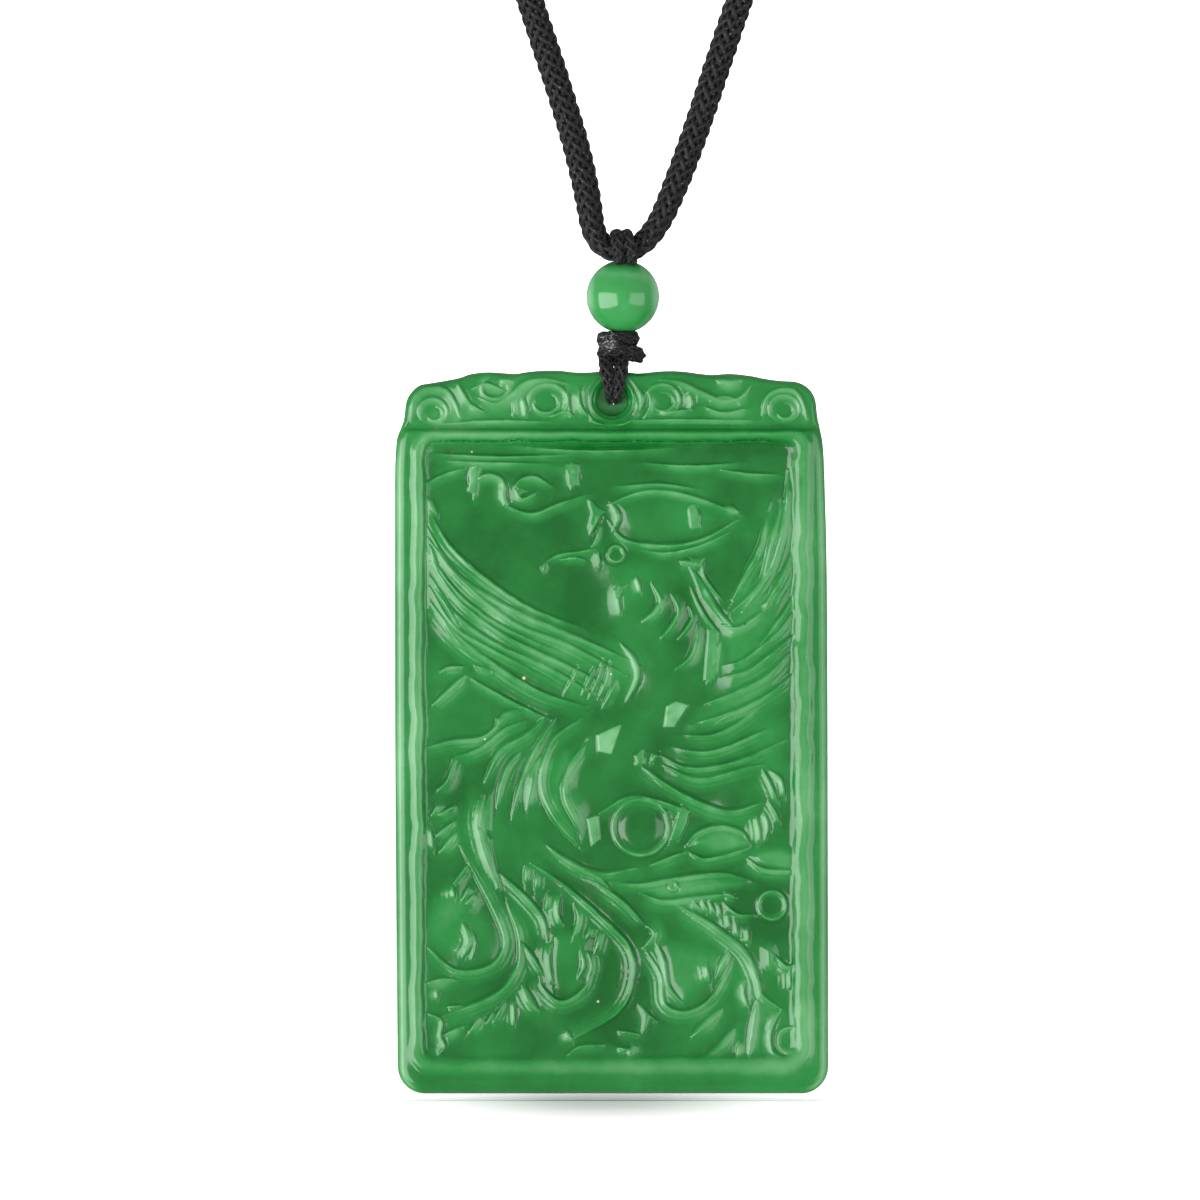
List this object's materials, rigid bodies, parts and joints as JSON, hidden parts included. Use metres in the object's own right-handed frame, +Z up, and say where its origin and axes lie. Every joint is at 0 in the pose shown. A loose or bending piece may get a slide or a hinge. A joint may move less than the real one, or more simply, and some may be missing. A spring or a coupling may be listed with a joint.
{
  "type": "pendant necklace",
  "caption": "Necklace of braided black cord with a round green bead above a carved green jade plaque, hung on knotted thin cord.",
  "frame": {"origin": "on the nape, at the underside of the joining sleeve where the cord lies on the back of the neck", "axes": "+Z up with the pendant hanging down along -Z, -Y the carved front, +X to the right seen from the front"},
  "size_m": [0.1119, 0.0066, 0.3362],
  "materials": {
    "black_cord": "braided, slightly waxed",
    "thin_cord": "thin twisted cord, slightly waxed",
    "black_sleeve": "matt",
    "bead_jade": "polished",
    "plaque_jade": "polished"
  },
  "bodies": {
    "cord": {"neck_cord": "black_cord", "joining_sleeve": "black_sleeve", "bead": "bead_jade", "bead_loop_left": "thin_cord", "bead_loop_right": "thin_cord", "lower_knot": "thin_cord", "plaque_loop_left": "thin_cord", "plaque_loop_right": "thin_cord"},
    "plaque": {"plaque": "plaque_jade"}
  },
  "joints": [
    {"name": "plaque_swing", "type": "hinge", "parent": "cord", "child": "plaque", "pos_m": [0, 0, -0.27504], "axis": [0, 1, 0], "range_deg": [-12, 12]}
  ]
}
